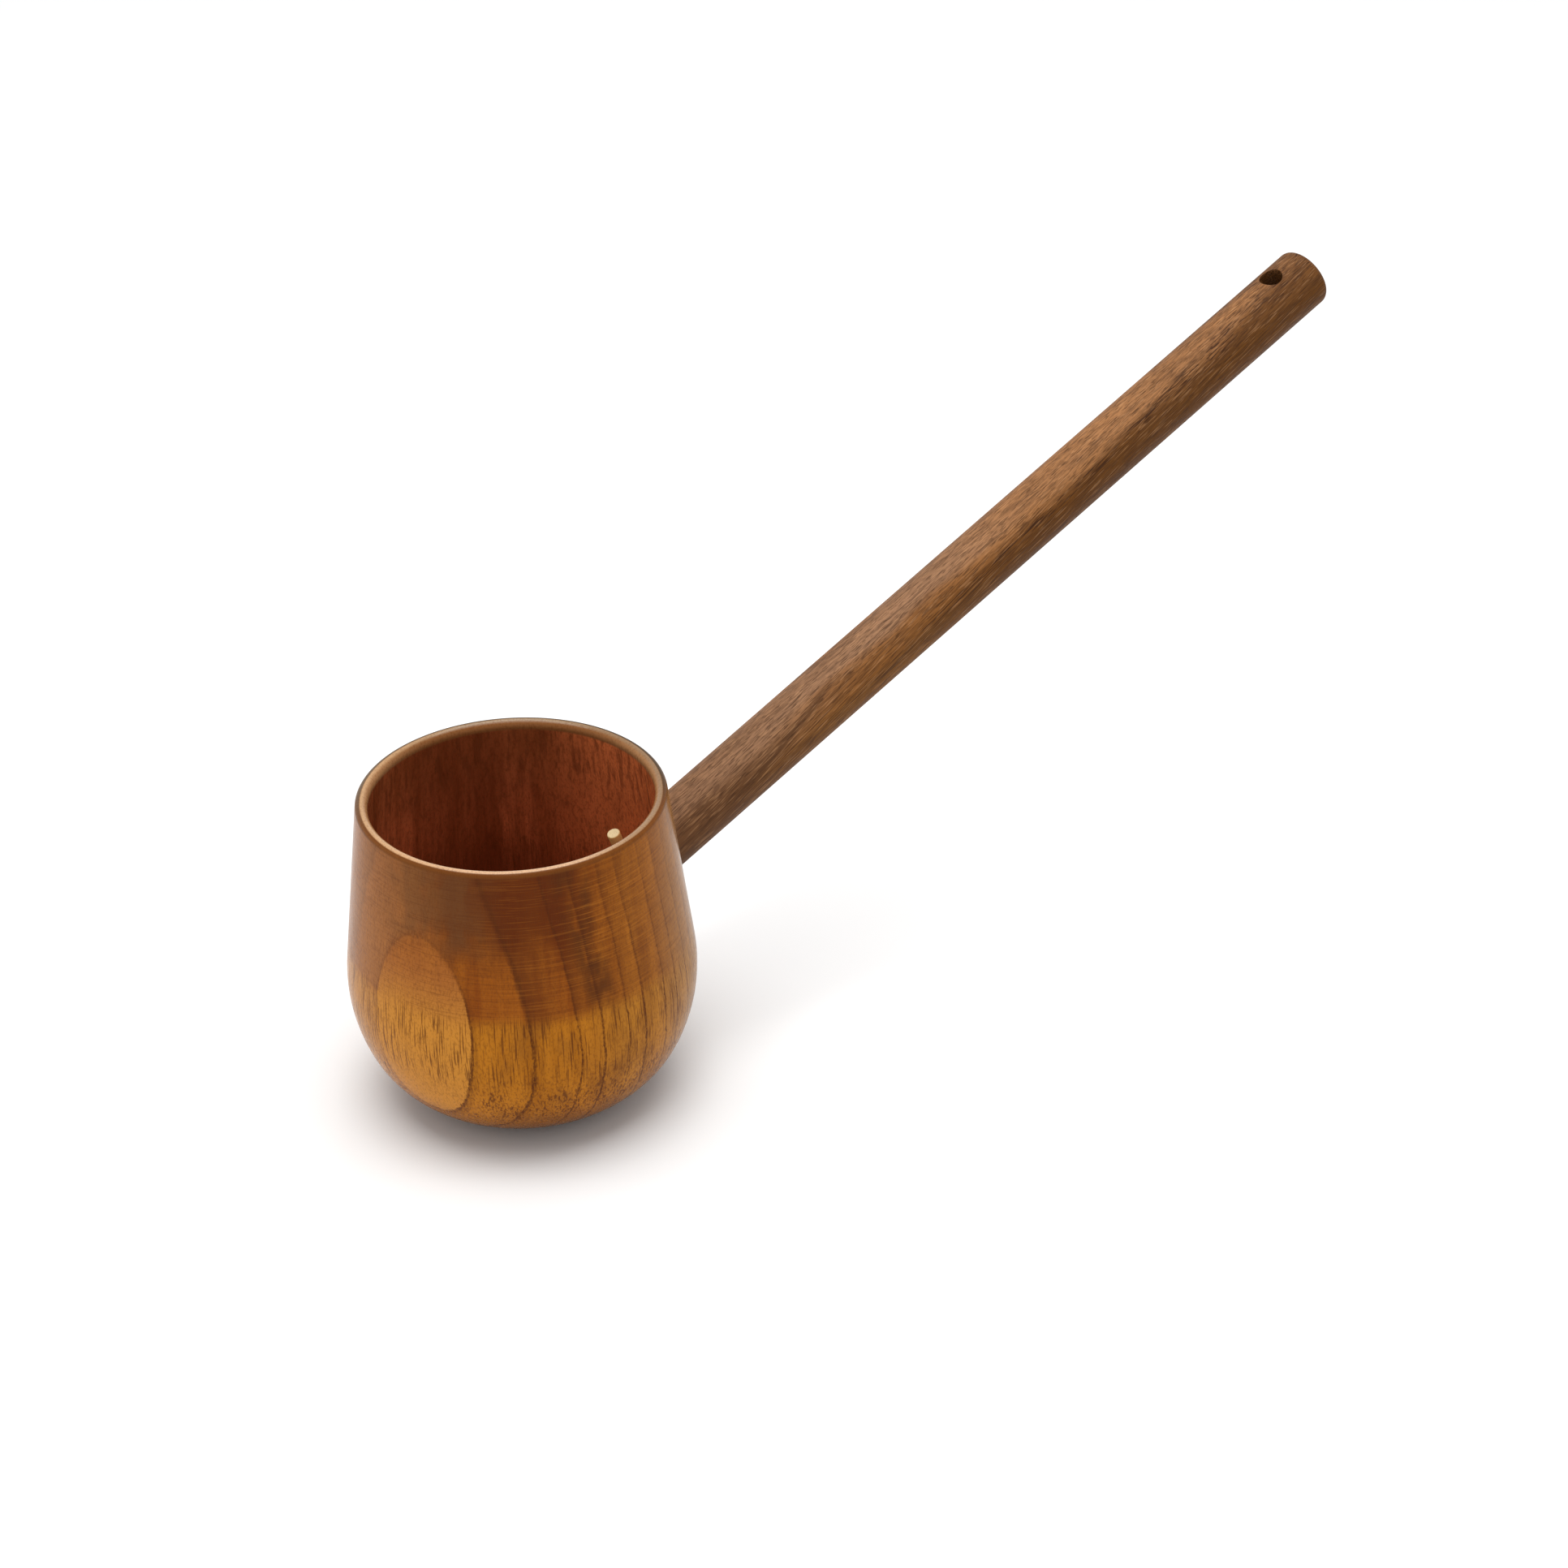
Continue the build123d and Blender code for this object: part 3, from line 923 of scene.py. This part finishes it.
rod_outline = Outline(0, -ROD_OVERLAP).line_to(ROD_RADIUS, -ROD_OVERLAP)
rod_outline.line_to(ROD_RADIUS, ROD_LENGTH - ROD_END_ROUND)
rod_outline.arc(ROD_RADIUS - ROD_END_ROUND, ROD_LENGTH - ROD_END_ROUND, pi / 2).line_to(0, ROD_LENGTH)
rod = turn_piece("handle_turned", rod_outline, walnut, ROD_STEPS, rod_seat)
tenon_outline = Outline(0, -tenon_reach).line_to(tenon_end_radius, -tenon_reach)
tenon_outline.line_to(TENON_RADIUS, TENON_END_CHAMFER - tenon_reach).line_to(TENON_RADIUS, ROD_OVERLAP)
tenon = turn_piece("tenon", tenon_outline.line_to(0, ROD_OVERLAP), walnut, ROD_STEPS, rod_seat)
envelope, envelope_top, _ = cup_outside(COPE_CLEARANCE)
envelope.line_to(envelope_top, CUP_HEIGHT).line_to(0, CUP_HEIGHT)
cope = turn_piece("cope", envelope, walnut, CUP_STEPS)
mortise_outline = stick(TENON_RADIUS + TENON_CLEARANCE, -MORTISE_REACH, MORTISE_REACH)
mortise = turn_piece("mortise", mortise_outline, wood, ROD_STEPS, rod_seat)
print(f"tenon reaches {tenon_reach:.2f} mm back from the wall")

# %% [markdown]
# ## The peg
# The peg crosses the tenon just inside the wall and stands up into the cup. A plain cylinder would look
# too sharp, so it is turned like the rest, with a rounded top and a bevelled foot. Its middle is the
# middle of its solid in the frame, and it leans with the rod. The sticks that will drill its hole and the
# hanging hole are made with it.

# %% Peg and the drills across the rod
PEG_LENGTH = 18.9
PEG_EDGE = 0.3
PEG_CLEARANCE = 0.05
PEG_STEPS = 48
HOLE_RADIUS = hang_hole["dims"]["r_mm"]
HOLE_REACH = 12.0
HOLE_STEPS = 64

peg_low, peg_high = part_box("locking_peg")
PEG_RADIUS = (peg_high.y - peg_low.y) / 2 / MM
peg_half = PEG_LENGTH / 2
lean_with_rod = Matrix.Rotation(-ROD_TILT, 4, "Y")
peg_seat = Matrix.Translation((peg_low + peg_high) / 2) @ lean_with_rod
hole_seat = Matrix.Translation(hang_hole["pos_m"]) @ lean_with_rod
peg_outline = Outline(0, -peg_half).line_to(PEG_RADIUS - PEG_EDGE, -peg_half)
peg_outline.line_to(PEG_RADIUS, PEG_EDGE - peg_half).line_to(PEG_RADIUS, peg_half - PEG_EDGE)
peg_outline.arc(PEG_RADIUS - PEG_EDGE, peg_half - PEG_EDGE, pi / 2).line_to(0, peg_half)
peg = turn_piece("peg_turned", peg_outline, bamboo, PEG_STEPS, peg_seat)
peg_drill = stick(PEG_RADIUS + PEG_CLEARANCE, -peg_half - 1, peg_half + 1)
peg_hole = turn_piece("peg_hole", peg_drill, walnut, PEG_STEPS, peg_seat)
hole = turn_piece("hole", stick(HOLE_RADIUS, -HOLE_REACH, HOLE_REACH), walnut, HOLE_STEPS, hole_seat)

# %% [markdown]
# ## Cutting and joining
# On the bench the mortise is drilled through the cup's wall, the rod is coped, and the holes are bored.
# Holes could be modelled by stitching faces, but where a slanted round meets a curved wall that is slow
# and never exact. Exact Booleans do it. Each result is taken as a plain mesh and the tools are thrown
# away. Edges sharper than the limit stay crisp, the rest is shaded smooth.

# %% Bench work
CRISP_EDGE = radians(35)


def carve(piece, jobs):
    """Cuts or joins the tools to a piece, in order, and leaves a plain mesh."""
    for operation, tool in jobs:
        modifier = piece.modifiers.new(tool.name, "BOOLEAN")
        modifier.operation = operation
        modifier.solver = "EXACT"
        modifier.object = tool
    mesh = evaluated_mesh(piece)
    piece.modifiers.clear()
    for _, tool in jobs:
        bpy.data.objects.remove(tool)
    piece.data = mesh
    mesh.shade_smooth()
    mesh.set_sharp_from_angle(angle=CRISP_EDGE)
    print(f"{piece.name}: {len(mesh.polygons)} faces after {len(jobs)} jobs")


carve(cup, [("DIFFERENCE", mortise)])
carve(rod, [("DIFFERENCE", cope), ("UNION", tenon), ("DIFFERENCE", hole), ("DIFFERENCE", peg_hole)])
peg.data.set_sharp_from_angle(angle=CRISP_EDGE)

# %% [markdown]
# ## Into the frame
# The finer pieces could simply lie over the solids, but then the two would flicker through each other. So
# each piece stands for its solid: the solid is hidden, and the piece moves with the part's one body.

# %% Replace the solids
STAND_INS = ((cup, "cup", "lacquered_wood"), (rod, "handle", "walnut"), (peg, "locking_peg", "bamboo"))
for piece, node, slot in STAND_INS:
    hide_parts(node)
    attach(piece, "root")
    spans = [max(values) - min(values) for values in zip(*piece.bound_box)]
    print(node, "size, mm:", [round(span / MM, 2) for span in spans])

# %% [markdown]
# ## The floor
# The dipper stands on a plain pale floor, in a picture whose background is pure white. Pouring on light
# until the floor clips would wash out the wood too. Instead the floor keeps its grey and the object's
# shadow near the cup, and further off it fades to white for rays that look, from the camera or by a
# reflection, and not for rays that carry light.

# %% Floor
FLOOR_SIZE = 6.0
FADE_START = 0.35
FADE_END = 0.9
WHITE = rgb(1, 1, 1)


def rays_that_look(wire):
    """1 for rays that show a thing to the camera, by themselves or by a reflection, and 0 for light."""
    rays = wire.node("ShaderNodeLightPath").socket.node.outputs
    kinds = ("Is Camera Ray", "Is Glossy Ray", "Is Transmission Ray")
    camera_ray, glossy_ray, passing_ray = [Wire(wire.tree, rays[kind]) for kind in kinds]
    return camera_ray + glossy_ray + passing_ray


pale_sockets = {"Base Color": rgb(0.9, 0.9, 0.9), "Roughness": 0.9, "IOR": 1.1}
pale, pale_wire, pale_shader = new_finish("pale_floor", pale_sockets)
floor_x, floor_y, _ = object_place(pale_wire).split()
far_off = ((floor_x ** 2.0 + floor_y ** 2.0) ** 0.5).smooth(FADE_START, FADE_END)
white_floor = pale_wire.node("ShaderNodeEmission", None, {"Color": WHITE, "Strength": 1.0})
pale_floor = Wire(pale_wire.tree, pale_shader.outputs[0])
blend = {0: rays_that_look(pale_wire) * far_off, 1: pale_floor, 2: white_floor}
faded = pale_wire.node("ShaderNodeMixShader", None, blend)
pale.node_tree.links.new(faded.socket, pale.node_tree.nodes["Material Output"].inputs["Surface"])

edge = FLOOR_SIZE / 2
floor_mesh = bpy.data.meshes.new("floor")
floor_corners = [(-edge, -edge, 0), (edge, -edge, 0), (edge, edge, 0), (-edge, edge, 0)]
floor_mesh.from_pydata(floor_corners, [], [(0, 1, 2, 3)])
floor_mesh.materials.append(pale)
floor = add_object("floor", floor_mesh)
floor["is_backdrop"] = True
print("floor:", FLOOR_SIZE, "m wide, white from", FADE_END, "m")

# %% [markdown]
# ## Light
# The light is that of a plain studio: soft from all round, with one large lamp overhead that draws the
# shadow below the belly. A picture of a studio could light it too, but a plain world is easier to judge
# colours by. The world lights at a plain level and shows white to the rays that look, so a reflection
# sees the same white as the camera.

# %% World and lamp
AMBIENT = 0.62
LAMP_HEIGHT = 1.5
LAMP_SIZE = 1.4
LAMP_POWER = 22.0

world = bpy.data.worlds.new("studio")
bpy.context.scene.world = world
world.use_nodes = True
world.node_tree.nodes.clear()
sky_wire = Wire(world.node_tree)
soft_sky = sky_wire.node("ShaderNodeBackground", None, {"Color": WHITE, "Strength": AMBIENT})
white_sky = sky_wire.node("ShaderNodeBackground", None, {"Color": WHITE, "Strength": 1.0})
sky = sky_wire.node("ShaderNodeMixShader", None, {0: rays_that_look(sky_wire), 1: soft_sky, 2: white_sky})
sky_wire.node("ShaderNodeOutputWorld", None, {"Surface": sky})

lamp_data = bpy.data.lights.new("soft_box", "AREA")
lamp_data.size = LAMP_SIZE
lamp_data.energy = LAMP_POWER
lamp = add_object("soft_box", lamp_data)
lamp.location = (0, 0, LAMP_HEIGHT)
bpy.context.scene.view_settings.view_transform = "Standard"
print("lamp:", LAMP_POWER, "W at", LAMP_HEIGHT, "m")

# %% [markdown]
# ## Camera
# The photograph was taken from above the cup's front left, with a long lens. A camera placed by eye would
# miss its outlines by several pixels, so its distance, height, aim and lens come from matching the
# outlines of rim, belly and rod, with the cup's height and the rod's length as the scale.

# %% Camera
CAMERA_DISTANCE = 1.0108
CAMERA_ELEVATION = radians(32.36)
CAMERA_TURN = radians(-35.453)
CAMERA_YAW = radians(3.69)
CAMERA_PITCH = radians(1.821)
CAMERA_ROLL = radians(-4.02)
CAMERA_LENS = 97.216
AIM_HEIGHT = 0.04

turn_round = Matrix.Rotation(CAMERA_TURN, 4, "Z")
stand = Vector((0, -CAMERA_DISTANCE * cos(CAMERA_ELEVATION), CAMERA_DISTANCE * sin(CAMERA_ELEVATION)))
aim = turn_round @ Matrix.Rotation(pi / 2 - CAMERA_ELEVATION, 4, "X")
aim = aim @ Matrix.Rotation(-CAMERA_YAW, 4, "Y") @ Matrix.Rotation(CAMERA_PITCH, 4, "X")
aim = aim @ Matrix.Rotation(CAMERA_ROLL, 4, "Z")
camera_data = bpy.data.cameras.new("camera")
camera_data.lens = CAMERA_LENS
camera = add_object("camera", camera_data)
camera.matrix_world = Matrix.Translation(turn_round @ stand + Vector((0, 0, AIM_HEIGHT))) @ aim
bpy.context.scene.camera = camera
print("camera at", camera.location)

# %% [markdown] ## Sizes The dressed dipper has to fill the same box as its solids.

# %% Finish
final_bounds = [list(corner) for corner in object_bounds()]
gaps = [abs(a - b) for cad, own in zip(cad_bounds, final_bounds) for a, b in zip(cad, own)]
print(f"boxes differ by up to {max(gaps) / MM:.4f} mm")
